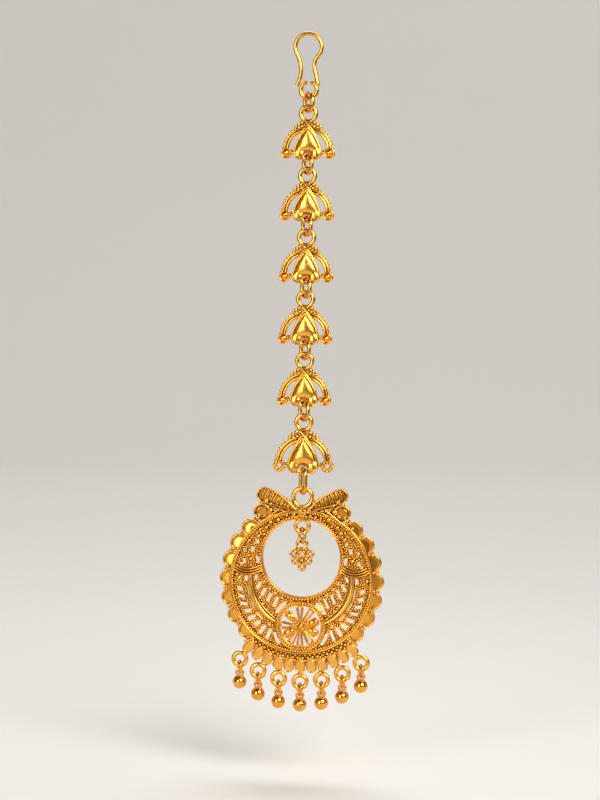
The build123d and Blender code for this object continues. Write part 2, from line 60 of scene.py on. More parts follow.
# ------------------------------------------------------------------------------- studio
# The jewel hangs in a round pale matt sweep: a table that curves up into a wall on every side. A
# soft key lamp stands upper right and a long one on the left, both gridded so that they spill
# little on the sweep. A strip lights the top, and one lamp lights the wall behind the jewel.
TABLE_GAP = 15              # below the lowest ball
SWEEP_RADIUS = 1.6          # this and the next two in metres
SWEEP_CURVE = 0.5
SWEEP_HEIGHT = 2.2
PAINT_GREY = "E9E6E1"
ROOM_GREY = "B8B4B0"
ROOM_LIGHT = 0.15
LAMPS = [
    # name         place                  aim              sides        power  spread
    ("key_lamp",   (0.3, -0.42, 0.3),     (0, 0, 0),       (0.34, 0.3), 0.6,   70),
    ("left_lamp",  (-0.26, -0.57, 0.12),  (0, 0, -0.01),   (0.17, 0.4), 0.25,  70),
    ("top_lamp",   (0.05, 0.12, 0.5),     (0, 0, 0),       (0.5, 0.2),  0.9,   180),
    ("wall_lamp",  (0, 0.6, 1.1),         (0, 1.4, -0.1),  (1.2, 0.5),  9.5,   180),
]
CAMERA_AZIMUTH = 8
CAMERA_ELEVATION = 2
CAMERA_DISTANCE = 0.489     # metres
CAMERA_LENS = 100
CAMERA_LEAN = 0.86          # degrees that the chain leans in the view
AIM = (-0.74, 0, -79.8)


def linear(code):
    """Linear colour of an sRGB hex code such as "E8B050"."""
    parts = [int(code[i:i + 2], 16) / 255 for i in (0, 2, 4)]
    return (*[c / 12.92 if c <= 0.04045 else ((c + 0.055) / 1.055) ** 2.4 for c in parts], 1)


def add_node(tree, kind, settings=(), links=()):
    """Node of a kind, with settings and linked inputs by name, or by number where names repeat."""
    node = tree.nodes.new(kind)
    for key, value in dict(settings).items():
        if isinstance(key, int) or key in node.inputs:
            node.inputs[key].default_value = value
        else:
            setattr(node, key, value)
    for key, source in dict(links).items():
        tree.links.new(source, node.inputs[key])
    return node


def new_material(name):
    """Empty node material and its tree."""
    material = bpy.data.materials.new(name)
    material.use_nodes = True
    material.node_tree.nodes.clear()
    return material, material.node_tree


def deselect():
    """Leaves nothing selected, the loaded nodes included."""
    if bpy.context.object and bpy.context.object.mode != "OBJECT":
        bpy.ops.object.mode_set(mode="OBJECT")
    bpy.ops.object.select_all(action="DESELECT")


def matt_paint():
    """Matt emulsion on board: pale warm grey with a faint roller stipple."""
    material, tree = new_material("matt_emulsion")
    place = add_node(tree, "ShaderNodeTexCoord")
    stipple = add_node(
        tree,
        "ShaderNodeTexNoise",
        {"Scale": 0.9 / MM, "Detail": 3},
        {"Vector": place.outputs["Object"]},
    )
    bump = add_node(
        tree,
        "ShaderNodeBump",
        {"Strength": 0.15, "Distance": 0.2 * MM},
        {"Height": stipple.outputs["Fac"]},
    )
    shader = add_node(
        tree,
        "ShaderNodeBsdfPrincipled",
        {"Base Color": linear(PAINT_GREY), "Roughness": 0.85},
        {"Normal": bump.outputs["Normal"]},
    )
    add_node(tree, "ShaderNodeOutputMaterial", (), {"Surface": shader.outputs["BSDF"]})
    return material


deselect()
table_top = cad_box[0].z - TABLE_GAP * MM
bpy.ops.mesh.primitive_circle_add(
    vertices=96, radius=SWEEP_RADIUS, fill_type="NGON", location=(0, 0, table_top)
)
sweep = bpy.context.object
sweep.name = "table_and_wall"
bpy.ops.object.transform_apply(location=True)
bpy.ops.object.mode_set(mode="EDIT")
bpy.ops.mesh.select_mode(type="EDGE")
bpy.ops.mesh.select_all(action="SELECT")
bpy.ops.mesh.region_to_loop()
bpy.ops.mesh.extrude_edges_move(TRANSFORM_OT_translate={"value": (0, 0, SWEEP_HEIGHT)})
bpy.ops.object.mode_set(mode="OBJECT")
for edge in sweep.data.edges:
    edge.select = all(sweep.data.vertices[i].co.z < table_top + MM for i in edge.vertices)
bpy.ops.object.mode_set(mode="EDIT")
bpy.ops.mesh.bevel(offset=SWEEP_CURVE, segments=16, affect="EDGES")
bpy.ops.mesh.select_all(action="SELECT")
bpy.ops.mesh.normals_make_consistent(inside=True)
bpy.ops.object.mode_set(mode="OBJECT")
bpy.ops.object.shade_smooth()
sweep.data.materials.append(matt_paint())

# Places and aims are in metres from the middle of the jewel, and spreads in degrees.
jewel_middle = (cad_box[0] + cad_box[1]) / 2
for name, place, lit, sides, power, spread in LAMPS:
    bpy.ops.object.light_add(type="AREA", location=jewel_middle + Vector(place))
    lamp = bpy.context.object
    lamp.name = name
    lamp.data.shape = "RECTANGLE"
    lamp.data.size, lamp.data.size_y = sides
    lamp.data.energy = power
    lamp.data.spread = radians(spread)
    lamp.rotation_euler = (Vector(lit) - Vector(place)).to_track_quat("-Z", "Y").to_euler()

world = bpy.data.worlds.new("room")
world.use_nodes = True
background = world.node_tree.nodes["Background"]
background.inputs["Color"].default_value = linear(ROOM_GREY)
background.inputs["Strength"].default_value = ROOM_LIGHT
bpy.context.scene.world = world
bpy.context.scene.view_settings.view_transform = "Standard"

turn, rise = radians(CAMERA_AZIMUTH), radians(CAMERA_ELEVATION)
aim = Vector(AIM) * MM
back = Vector((sin(turn) * cos(rise), -cos(turn) * cos(rise), sin(rise)))
bpy.ops.object.camera_add(location=aim + back * CAMERA_DISTANCE)
camera = bpy.context.object
lean = Matrix.Rotation(radians(CAMERA_LEAN), 3, "Z")
camera.rotation_euler = ((-back).to_track_quat("-Z", "Y").to_matrix() @ lean).to_euler()
camera.data.lens = CAMERA_LENS
camera.data.clip_start = 0.01
bpy.context.scene.camera = camera


# ------------------------------------------------------------------------------- hook and links
# Drawn 22 karat wire, bent round a former: the hook with its free foot, its slit ring, and the oval
# links. The wire was pulled through a plate and buffed, so it is mirror bright with faint drawing
# lines, and the right foot is soldered to the ring.
WIRE_GOLD = ("F8BE57", "EE9C34")
HOOK_SOLDER = [
    # x    y   z      radius
    (2.02, 0, -10.6,  0.62),        # where the foot meets the ring
    (0,    0,  0.42,  0.12),        # inside the wire at the top
]


def finish_metal(tree, colour, gloss, bump):
    """Ends a material's nodes in bare metal of that colour, roughness and relief."""
    shader = add_node(
        tree,
        "ShaderNodeBsdfPrincipled",
        {"Metallic": 1},
        {
            "Base Color": colour.outputs[2],
            "Roughness": gloss.outputs["Result"],
            "Normal": bump.outputs["Normal"],
        },
    )
    add_node(tree, "ShaderNodeOutputMaterial", (), {"Surface": shader.outputs["BSDF"]})


def drawn_wire_gold():
    """Drawn gold wire, buffed: a warm mirror with soft hand polish and a slight tone change."""
    material, tree = new_material("drawn_gold_wire")
    place = add_node(tree, "ShaderNodeTexCoord")
    along = {"Vector": place.outputs["Object"]}
    tone = add_node(tree, "ShaderNodeTexNoise", {"Scale": 1 / (2.5 * MM), "Detail": 2}, along)
    polish = add_node(tree, "ShaderNodeTexNoise", {"Scale": 1 / (0.35 * MM), "Detail": 4}, along)
    colour = add_node(
        tree,
        "ShaderNodeMix",
        {"data_type": "RGBA", 6: linear(WIRE_GOLD[0]), 7: linear(WIRE_GOLD[1])},
        {0: tone.outputs["Fac"]},
    )
    gloss = add_node(
        tree,
        "ShaderNodeMapRange",
        {"To Min": 0.1, "To Max": 0.26},
        {"Value": polish.outputs["Fac"]},
    )
    bump = add_node(
        tree,
        "ShaderNodeBump",
        {"Strength": 0.35, "Distance": 0.02 * MM},
        {"Height": polish.outputs["Fac"]},
    )
    finish_metal(tree, colour, gloss, bump)
    return material


def dress(name, material):
    """A CAD node's own material."""
    for slot in nodes[name].material_slots:
        slot.material = material


def settle(piece, body, material):
    """Names what a finished piece rides on and is made of."""
    piece.data.materials.clear()
    piece.data.materials.append(material)
    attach(piece, body)


def joined_copies(name, model, places):
    """One mesh of a small model's copies, at rows of x, y, z and size in mm."""
    points = np.array([v.co for v in model.data.vertices])
    faces = [list(p.vertices) for p in model.data.polygons]
    bpy.data.objects.remove(model)
    rows = np.array(places, float)
    spread = points[None] * rows[:, None, 3:4] + rows[:, None, :3]
    corners = [
        [i + step * len(points) for i in face] for step in range(len(rows)) for face in faces
    ]
    mesh = bpy.data.meshes.new(name)
    mesh.from_pydata(spread.reshape(-1, 3) * MM, [], corners)
    mesh.shade_smooth()
    piece = bpy.data.objects.new(name, mesh)
    bpy.context.scene.collection.objects.link(piece)
    return piece


def granules(name, places):
    """Soldered grains of gold, at rows of x, y, z and radius in mm."""
    deselect()
    bpy.ops.mesh.primitive_ico_sphere_add(subdivisions=2, radius=1)
    return joined_copies(name, bpy.context.object, places)


wire_gold = drawn_wire_gold()
dress("hair_hook", wire_gold)
for name in nodes:
    if "link" in name:
        dress(name, wire_gold)
settle(granules("hook_solder", HOOK_SOLDER), "chain", wire_gold)


# ------------------------------------------------------------------------------- stations
# Each station is a stamped heart under two arched arms. Its swollen face is thin sheet, creased
# above two lobes, inside a rim of round wire. Two smooth wires and a beaded one run side by side
# on each arm, the balls sit in wire collars, and crossed wires and grains hide the neck joint.
RING_TOP = 2.16             # top of a station's ring above its centre
ARM_CENTRE = -8.0
ARM_SPAN = (6, 76)          # degrees
ARM_STEPS = 22
ARM_WIRES = [
    # name               reach  wire  depth
    ("arm_wires",        4.5,   0.31, -0.62),
    ("outer_arm_wires",  5.1,   0.27, -0.5),
]
ARM_BEAD = (5.42, 0.34, -0.35)
BEAD_PITCH = 0.78
ARM_BALL = (4.78, -0.2, -8.6, 0.91)
BALL_COLLAR = (1.04, 0.2, -0.5)
CURL = (0.95, 0.36, -0.3, 8)        # reach, grain, depth and number of grains
HEART_ARCS = [
    # start          middle         end
    ((0, -2.85),     (2.05, -5.3),  (3.05, -8.0)),
    ((3.05, -8.0),   (2.7, -9.55),  (1.8, -10.05)),
]
HEART_NOTCH = (1.35, 0, -10.0)
HEART_INSET = 0.22
HEART_RIM = (0.25, -0.72)   # wire and depth
FACE_INSET = 0.4            # from the heart's edge to the edge of its swollen face
FACE_ROOT = 0.45            # how far that edge stands forward
FACE_SWELL = 0.88
FACE_SHEET = 0.12
FACE_ROWS = ((-3.5, -7.4, 16), (-7.55, -9.75, 20))      # from, to and number
FACE_STEPS = 19
FACE_TOP = -6.75            # height where the dome stands furthest forward
FACE_RISE = 3.9             # from there up to where the dome would die out
FACE_FOLD = -8.1            # height of the fold in the middle
FOLD_DROP = 1.1             # how much lower it ends at the sides
FACE_BLEND = 6              # the higher, the sharper the fold
LOBE_PLACE = (1.9, -8.8)
LOBE_SIZE = (1.3, 1.4)
LOBE_SWELL = 0.62
LINK_ARCH = (-9.75, 1.22)   # the opening that the link comes out of: centre height and radius
ARCH_EDGE = (0.1, 0.17, -0.62)      # outside the opening, wire and depth
ARCH_SPAN = (12, 168)
NECK_CROSS = [(-0.6, -0.62, -1.75), (0.05, -0.88, -2.4), (0.9, -0.9, -3.45), (1.75, -0.75, -4.7)]
NECK_WIRE = 0.21
ARM_TIE = [(2.85, -0.55, -8.35), (3.4, -0.6, -8.0), (4.0, -0.6, -8.1)]
TIE_WIRE = 0.2
NECK_DEPTH = -0.3
NECK_GRAINS = [
    # x     z      radius
    (1.4,  -1.95,  0.45),
    (2.1,  -2.35,  0.45),
    (1.3,  -2.8,   0.42),
    (2.7,  -2.9,   0.4),
    (0.7,  -2.45,  0.34),
    (2.0,  -3.0,   0.36),
]
JOINT_GRAINS = [
    # x      y     z      radius
    (0,     -1.0, -2.62,  0.32),
    (3.35,  -0.6, -8.55,  0.26),
    (-3.35, -0.6, -8.55,  0.26),
]
LAST_STATION_SIZE = 1.115
# Bright gold, and the burnt orange that is painted as shade in hollows and between wires and
# grains.
GOLD_AND_PAINTED_SHADE = ("F9B94F", "7C3202")


def gold_with_painted_shade(name, grain, relief, roughness, edge=None, streak=1):
    """Filigree gold, brushed: bright on the high wires, with shade painted burnt orange in the
    hollows.

    Grain is the size of its hammered marks in mm, and relief how strongly they show; a streak under
    1 draws them out upright, as a brush does. Past an edge, given as the place of a circle's centre
    and its radius, the metal is polished flat.
    """
    material, tree = new_material(name)
    place = add_node(tree, "ShaderNodeTexCoord")
    where = {"Vector": place.outputs["Object"]}
    tone = add_node(tree, "ShaderNodeTexNoise", {"Scale": 1 / (1.6 * MM), "Detail": 3}, where)
    # Painted shade: ambient occlusion turns the colour to burnt orange in hollows, creases and
    # between grains.
    reach = add_node(tree, "ShaderNodeAmbientOcclusion", {"Distance": 0.7 * MM, "samples": 6})
    shade = add_node(
        tree,
        "ShaderNodeMapRange",
        {"From Min": 0.8, "From Max": 0.25, "To Min": 0, "To Max": 1},
        {"Value": reach.outputs["AO"]},
    )
    colour = add_node(
        tree,
        "ShaderNodeMix",
        {"data_type": "RGBA", 6: linear(GOLD_AND_PAINTED_SHADE[0]), 7: linear(GOLD_AND_PAINTED_SHADE[1])},
        {0: shade.outputs["Result"]},
    )
    drawn = add_node(tree, "ShaderNodeMapping", {"Scale": (1, 1, streak)}, where)
    cells = add_node(
        tree,
        "ShaderNodeTexVoronoi",
        {"Scale": 1 / (grain * MM), "feature": "SMOOTH_F1"},
        {"Vector": drawn.outputs["Vector"]},
    )
    bump = add_node(
        tree,
        "ShaderNodeBump",
        {"Strength": relief, "Distance": 0.12 * grain * MM, "invert": True},
        {"Height": cells.outputs["Distance"]},
    )
    if edge:
        (x, z), radius = edge
        axes = add_node(tree, "ShaderNodeSeparateXYZ", (), where)
        flat = add_node(
            tree, "ShaderNodeCombineXYZ", (), {"X": axes.outputs["X"], "Z": axes.outputs["Z"]}
        )
        apart = add_node(
            tree,
            "ShaderNodeVectorMath",
            {"operation": "DISTANCE", 1: (x * MM, 0, z * MM)},
            {0: flat.outputs["Vector"]},
        )
        inside = add_node(
            tree,
            "ShaderNodeMath",
            {"operation": "LESS_THAN", 1: radius * MM},
            {0: apart.outputs["Value"]},
        )
        tree.links.new(inside.outputs["Value"], bump.inputs["Strength"])
    gloss = add_node(
        tree,
        "ShaderNodeMapRange",
        {"To Min": roughness - 0.07, "To Max": roughness + 0.09},
        {"Value": tone.outputs["Fac"]},
    )
    finish_metal(tree, colour, gloss, bump)
    return material


def arc(centre, radius, first, last, depth, count):
    """Points along an arc in the flat of the jewel; angles are in degrees from +X."""
    angles = np.radians(np.linspace(first, last, count))
    x = centre[0] + radius * np.cos(angles)
    z = centre[1] + radius * np.sin(angles)
    return np.column_stack([x, np.full(count, depth), z])


def circle(centre, radius, depth, count):
    """Even points round a circle in the flat of the jewel, for closed wires and rings of grains."""
    return arc(centre, radius, 0, 360 - 360 / count, depth, count)


def arc_through(start, middle, end, depth, count):
    """Points along the arc through three (x, z) points."""
    (ax, az), (bx, bz), (cx, cz) = start, middle, end
    d = 2 * (ax * (bz - cz) + bx * (cz - az) + cx * (az - bz))
    a2, b2, c2 = ax * ax + az * az, bx * bx + bz * bz, cx * cx + cz * cz
    ux = (a2 * (bz - cz) + b2 * (cz - az) + c2 * (az - bz)) / d
    uz = (a2 * (cx - bx) + b2 * (ax - cx) + c2 * (bx - ax)) / d
    angles = [degrees(atan2(z - uz, x - ux)) for x, z in (start, middle, end)]
    sweep_on = (angles[2] - angles[0]) % 360
    if (angles[1] - angles[0]) % 360 > sweep_on:
        sweep_on -= 360
    return arc((ux, uz), hypot(ax - ux, az - uz), angles[0], angles[0] + sweep_on, depth, count)


def mirrored(run):
    """A run of points and its mirror image across the jewel's middle."""
    run = np.asarray(run, float)
    return [run, run * (-1, 1, 1)]


def offset_loop(loop, distance):
    """A closed loop in the flat of the jewel, moved outwards, or inwards by a negative distance."""
    x, z = loop[:, 0], loop[:, 2]
    area = np.sum(x * np.roll(z, -1) - np.roll(x, -1) * z) / 2
    run_x, run_z = np.roll(x, -1) - np.roll(x, 1), np.roll(z, -1) - np.roll(z, 1)
    length = np.maximum(np.hypot(run_x, run_z), 1e-9) * np.sign(area)
    return loop + distance * np.column_stack([run_z / length, np.zeros(len(x)), -run_x / length])


def wires(name, runs, radius, closed=False):
    """Round wires along runs of points in mm, as one mesh. There may be a radius for each point."""
    deselect()
    curve = bpy.data.curves.new(name, "CURVE")
    curve.dimensions = "3D"
    curve.bevel_depth = MM
    curve.bevel_resolution = 2
    curve.use_fill_caps = not closed
    for run in runs:
        spline = curve.splines.new("POLY")
        spline.points.add(len(run) - 1)
        flat = np.ones((len(run), 4))
        flat[:, :3] = np.asarray(run) * MM
        spline.points.foreach_set("co", flat.ravel())
        spline.points.foreach_set("radius", np.broadcast_to(radius, len(run)).astype(float))
        spline.use_cyclic_u = closed
        spline.use_smooth = True
    piece = bpy.data.objects.new(name, curve)
    bpy.context.scene.collection.objects.link(piece)
    bpy.context.view_layer.objects.active = piece
    piece.select_set(True)
    bpy.ops.object.convert(target="MESH")
    bpy.ops.object.mode_set(mode="EDIT")
    bpy.ops.mesh.select_all(action="SELECT")
    bpy.ops.mesh.remove_doubles(threshold=1e-7)
    bpy.ops.mesh.normals_make_consistent(inside=False)
    bpy.ops.object.mode_set(mode="OBJECT")
    bpy.ops.object.shade_smooth_by_angle(angle=radians(50))
    return bpy.context.object


def fuse(name, pieces):
    """Several meshes joined into one, as soldered work is."""
    deselect()
    for piece in pieces:
        piece.select_set(True)
    bpy.context.view_layer.objects.active = pieces[0]
    bpy.ops.object.join()
    bpy.context.object.name = name
    return bpy.context.object


def copy_at(piece, name, shift, size=1):
    """A copy with its own mesh, sized about the origin and moved by a shift in mm."""
    twin = piece.copy()
    twin.data = piece.data.copy()
    twin.name = name
    twin.data.transform(Matrix.Translation(Vector(shift) * MM) @ Matrix.Scale(size, 4))
    bpy.context.scene.collection.objects.link(twin)
    return twin


def grain_row(run, radius, pitch):
    """Rows for granules at even steps along a run of points."""
    run = np.asarray(run, float)
    steps = np.concatenate([[0], np.cumsum(np.linalg.norm(np.diff(run, axis=0), axis=1))])
    count = max(int(round(steps[-1] / pitch)), 1) + 1
    at = np.linspace(0, steps[-1], count)
    places = [np.interp(at, steps, run[:, axis]) for axis in range(3)]
    return np.column_stack([*places, np.full(count, radius)])


def heart_loop(inset):
    """The heart's outline, moved inwards: its right side from the point down to the lobe."""
    side = np.vstack([arc_through(*three, 0, 24)[:-1] for three in HEART_ARCS] + [[HEART_NOTCH]])
    return offset_loop(np.vstack([side, (side * (-1, 1, 1))[:0:-1]]), -inset)[:len(side)]


def heart_face():
    """Swollen face of the heart: a dome, folded above two lobes, open where the link comes out."""
    edge = heart_loop(FACE_INSET)[1:]
    levels = np.concatenate([np.linspace(*rows) for rows in FACE_ROWS])
    arch_z, arch = LINK_ARCH
    points = []
    for z in levels:
        outer = np.interp(-z, -edge[:, 2], edge[:, 0])
        inner = sqrt(max(arch ** 2 - (z - arch_z) ** 2, 0)) if z < arch_z + arch else 0
        for share in np.linspace(0, 1, FACE_STEPS):
            x = inner + (outer - inner) * share
            fold = FACE_FOLD - FOLD_DROP * (x / outer) ** 2
            rise = (FACE_TOP - z) / (FACE_RISE if z > FACE_TOP else FACE_TOP - fold)
            dome = FACE_SWELL * sqrt(max(1 - rise ** 2, 0) * (1 - (x / outer) ** 2))
            off = hypot((x - LOBE_PLACE[0]) / LOBE_SIZE[0], (z - LOBE_PLACE[1]) / LOBE_SIZE[1])
            lobe = LOBE_SWELL * sqrt(max(1 - off ** 2, 0))
            swell = (dome ** FACE_BLEND + lobe ** FACE_BLEND) ** (1 / FACE_BLEND)
            points.append((x, -FACE_ROOT - swell, z))
    faces = []
    for row in range(len(levels) - 1):
        for step in range(FACE_STEPS - 1):
            first = row * FACE_STEPS + step
            faces.append((first, first + 1, first + FACE_STEPS + 1, first + FACE_STEPS))
    twins = [tuple(len(points) + corner for corner in face[::-1]) for face in faces]
    points = np.vstack([points, np.array(points) * (-1, 1, 1)])
    mesh = bpy.data.meshes.new("heart_face")
    mesh.from_pydata((points * MM).tolist(), [], faces + twins)
    face = bpy.data.objects.new("heart_face", mesh)
    bpy.context.scene.collection.objects.link(face)
    deselect()
    face.select_set(True)
    bpy.context.view_layer.objects.active = face
    bpy.ops.object.mode_set(mode="EDIT")
    bpy.ops.mesh.select_all(action="SELECT")
    bpy.ops.mesh.remove_doubles(threshold=1e-6)
    bpy.ops.mesh.extrude_region_move(TRANSFORM_OT_translate={"value": (0, -FACE_SHEET * MM, 0)})
    bpy.ops.mesh.select_all(action="SELECT")
    bpy.ops.mesh.normals_make_consistent(inside=False)
    bpy.ops.object.mode_set(mode="OBJECT")
    bpy.ops.object.shade_smooth_by_angle(angle=radians(50))
    return bpy.context.object


def station_wires():
    """Every smooth wire of one station, with the centre of its ring at the origin."""
    pieces = []
    for name, reach, wire, depth in ARM_WIRES:
        run = arc((0, ARM_CENTRE), reach, *ARM_SPAN, depth, ARM_STEPS)
        pieces.append(wires(name, mirrored(run), wire))
    wire, depth = HEART_RIM
    pieces.append(wires("heart_edge", mirrored(heart_loop(HEART_INSET) + (0, depth, 0)), wire))
    arch_z, radius = LINK_ARCH
    out, wire, depth = ARCH_EDGE
    arch = arc((0, arch_z), radius + out, *ARCH_SPAN, depth, ARM_STEPS)
    pieces.append(wires("link_arch", [arch], wire))
    pieces.append(wires("neck_cross", mirrored(NECK_CROSS), NECK_WIRE))
    pieces.append(wires("arm_ties", mirrored(ARM_TIE), TIE_WIRE))
    return fuse("station_wires", pieces)


def station_grains():
    """The beaded edge of both arms, and the grains at the neck and the joints."""
    reach, grain, depth = ARM_BEAD
    edge = arc((0, ARM_CENTRE), reach, *ARM_SPAN, depth, 30)
    rows = [grain_row(run, grain, BEAD_PITCH) for run in mirrored(edge)]
    for x, z, size in NECK_GRAINS:
        rows.append([(x, NECK_DEPTH, z, size), (-x, NECK_DEPTH, z, size)])
    rows.append(JOINT_GRAINS)
    return granules("station_grains", np.vstack(rows))


def polished_balls():
    """The ball and its wire collar at the foot of each arm."""
    x, y, z, radius = ARM_BALL
    deselect()
    bpy.ops.mesh.primitive_uv_sphere_add(segments=24, ring_count=14, radius=1)
    places = [(side * x, y, z, radius) for side in (-1, 1)]
    balls = joined_copies("arm_balls", bpy.context.object, places)
    reach, wire, depth = BALL_COLLAR
    collars = wires("ball_collars", mirrored(circle((x, z), reach, depth, 30)), wire, closed=True)
    return fuse("arm_balls", [balls, collars])


def curl_grains():
    """Grains round the open curl at each arm's end on the last station."""
    x, _, z, _ = ARM_BALL
    reach, grain, depth, count = CURL
    rows = []
    for side in (-1, 1):
        ring = circle((side * x, z), reach, depth, count)
        rows.append(np.column_stack([ring, np.full(count, grain)]))
    return granules("curl_grains", np.vstack(rows))


heart_gold = gold_with_painted_shade("cast_heart_gold", grain=0.3, relief=0.3, roughness=0.17)
face_gold = gold_with_painted_shade("stamped_face_gold", grain=0.2, relief=0.9, roughness=0.24, streak=0.25)
filigree_gold = gold_with_painted_shade("filigree_gold", grain=0.25, relief=0.35, roughness=0.16)
model_face, model_wires, model_grains = heart_face(), station_wires(), station_grains()
model_balls, model_curls = polished_balls(), curl_grains()
station_names = sorted(name for name in nodes if name.startswith("station_"))
for name in station_names:
    dress(name, heart_gold)
    low, high = [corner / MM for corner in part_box(name)]
    size = LAST_STATION_SIZE if name == station_names[-1] else 1
    shift = ((low.x + high.x) / 2, 0, high.z - RING_TOP)
    settle(copy_at(model_face, name + "_face", shift, size), "chain", face_gold)
    settle(copy_at(model_wires, name + "_wires", shift, size), "chain", filigree_gold)
    settle(copy_at(model_grains, name + "_grains", shift, size), "chain", filigree_gold)
    if size > 1:
        settle(copy_at(model_curls, name + "_curl_grains", shift, size), "chain", filigree_gold)
    else:
        settle(copy_at(model_balls, name + "_balls", shift), "chain", wire_gold)
for model in (model_face, model_wires, model_grains, model_balls, model_curls):
    bpy.data.objects.remove(model)


# ------------------------------------------------------------------------------- pierced plate
# The crescent is sheet gold pierced with a saw. Each slot is lined with a thin wire and followed
# by a row of tiny grains, and the sheet left between them is covered with grains and little wire
# rings of mixed size, all soldered on by hand.
BAIL_TOP = 15.9             # above the centre of the opening
PLATE_FRONT = -0.4
OPENING = 8.6
RIM_CENTRE = -5.28
RIM_REACH = 16.0
LARGEST_SLOT = 4.4
SLOT_WIRE = 0.17
SLOT_WIRE_OUT = 0.08        # from the slot's edge
SLOT_GRAIN = 0.27
SLOT_GRAIN_OUT = 0.52
SLOT_GRAIN_PITCH = 0.56
SLOT_GRAIN_CLEAR = 0.48     # from a neighbour's middle
SLOT_GRAIN_LIFT = 0.12
GRAIN_FOOT = 0.85           # share of a grain's radius that has to stand on the sheet
FLAT_WITHIN = 0.04
HORN_BALLS = [
    # x     z     radius
    (-5.3,  8.35, 0.58),
    (5.9,   8.6,  0.6),
    (7.9,   6.9,  0.6),
    (-7.9,  6.6,  0.5),
    (9.6,   4.3,  0.6),
    (-9.6,  4.6,  0.55),
    (11.3, -0.4,  0.55),
    (-11.3, -0.4, 0.55),
    (-10.9, 6.2,  0.45),
    (10.9,  6.4,  0.45),
]
BALL_LIFT = 0.35
BALL_CLEAR = 0.3            # kept free of grains round a ball
COLLAR = (0.12, 0.13, 0.1)  # outside the ball, wire and lift
FILL_REACH = 15.3
FILL_GRAINS = [
    # radius  tries
    (0.52,    1500),
    (0.4,     4000),
    (0.31,    7000),
    (0.22,    9000),
]
FILL_OVERLAP = 0.94         # share of a grain's radius that keeps clear of the others
FILL_FOOT = 0.9             # a fill grain may stand a little further over an edge
FILL_LIFT = 0.3
RING_GRAIN_SHARE = 0.3
RING_GRAIN_OVER = 0.3       # grains larger than this may be rings
RING_GRAIN = (0.72, 0.3)    # radii of the ring and its wire, as shares of the grain's
RING_LIFT = 0.05

low, high = [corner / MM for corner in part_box("pendant_frame")]
PENDANT = Vector(((low.x + high.x) / 2, 0, high.z - BAIL_TOP))
frame_mesh = nodes["pendant_frame"].data
frame_points = np.array([v.co for v in frame_mesh.vertices]) / MM - np.array(PENDANT)
frame_faces = [list(p.vertices) for p in frame_mesh.polygons]
frame_tree = BVHTree.FromPolygons(frame_points.tolist(), frame_faces)


def settle_pendant(piece, name, material):
    """Moves a piece drawn about the centre of the opening to the pendant, and finishes it."""
    piece.data.transform(Matrix.Translation(PENDANT * MM))
    piece.name = name
    settle(piece, "pendant", material)


def front_outlines(depth):
    """Closed outlines of the frame's flat front faces at a depth; holes turn the other way."""
    follows = {}
    for polygon, face in zip(frame_mesh.polygons, frame_faces):
        corners = frame_points[face]
        if polygon.normal.y > -0.9 or np.abs(corners[:, 1] - depth).max() > 0.003:
            continue
        keys = [(round(x, 3), round(z, 3)) for x, y, z in corners]
        for start, end in zip(keys, keys[1:] + keys[:1]):
            if start in follows.get(end, ()):
                follows[end].remove(start)
            else:
                follows.setdefault(start, []).append(end)
    outlines = []
    for first in list(follows):
        while follows[first]:
            run, here = [first], follows[first].pop()
            while here != first and follows.get(here):
                run.append(here)
                here = follows[here].pop()
            if here == first and len(run) > 3:
                outlines.append(np.array([(x, depth, z) for x, z in run]))
    return outlines


def turns_left(loop):
    """True for a loop that runs anticlockwise, seen from the front."""
    x, z = loop[:, 0], loop[:, 2]
    return np.sum(x * np.roll(z, -1) - np.roll(x, -1) * z) > 0


def across(loop):
    """Length of the diagonal of a loop's box."""
    return float(np.linalg.norm(np.ptp(loop, axis=0)))


def rests(x, z, radius):
    """True where a grain of that radius has the plate's front face all under it."""
    reach = radius * GRAIN_FOOT
    feet = [(x, z)]
    for turn in range(0, 360, 60):
        feet.append((x + reach * cos(radians(turn)), z + reach * sin(radians(turn))))
    for foot_x, foot_z in feet:
        hit = frame_tree.ray_cast((foot_x, -5, foot_z), (0, 1, 0))[0]
        if hit is None or abs(hit.y - PLATE_FRONT) > FLAT_WITHIN:
            return False
    return True


plate_middle = (PENDANT.x, PENDANT.z + RIM_CENTRE)
sheet_gold = gold_with_painted_shade(
    "pierced_sheet_gold", grain=0.42, relief=1, roughness=0.22, edge=(plate_middle, RIM_REACH)
)
dress("pendant_frame", sheet_gold)
plate_outlines = front_outlines(PLATE_FRONT)
outer_turn = turns_left(max(plate_outlines, key=across))
holes = [loop for loop in plate_outlines if turns_left(loop) != outer_turn]
slots = [loop for loop in holes if across(loop) < LARGEST_SLOT]
edges = [offset_loop(loop, SLOT_WIRE_OUT) for loop in slots]
slot_wires = wires("slot_wires", edges, SLOT_WIRE, closed=True)

# A grain is laid only where it clears the ones before it and the sheet is whole under it.
taken = np.empty((0, 3))
rows = []
for loop in slots:
    outside = offset_loop(loop, SLOT_GRAIN_OUT)
    row = grain_row(np.vstack([outside, outside[:1]]), SLOT_GRAIN, SLOT_GRAIN_PITCH)[:-1]
    for x, _, z, radius in row:
        apart = np.hypot(taken[:, 0] - x, taken[:, 1] - z)
        if np.all(apart > SLOT_GRAIN_CLEAR) and rests(x, z, radius):
            taken = np.vstack([taken, (x, z, radius)])
            rows.append((x, PLATE_FRONT - SLOT_GRAIN_LIFT, z, radius))
settle_pendant(granules("slot_grains", rows), "slot_grains", filigree_gold)
settle_pendant(slot_wires, "slot_wires", filigree_gold)

taken = np.vstack([taken, [(x, z, radius + BALL_CLEAR) for x, z, radius in HORN_BALLS]])
rows = [(x, PLATE_FRONT - BALL_LIFT, z, radius) for x, z, radius in HORN_BALLS]
settle_pendant(granules("horn_balls", rows), "horn_balls", wire_gold)
out, wire, lift = COLLAR
runs = [circle((x, z), radius + out, PLATE_FRONT - lift, 24) for x, z, radius in HORN_BALLS]
settle_pendant(wires("horn_collars", runs, wire, closed=True), "horn_collars", filigree_gold)

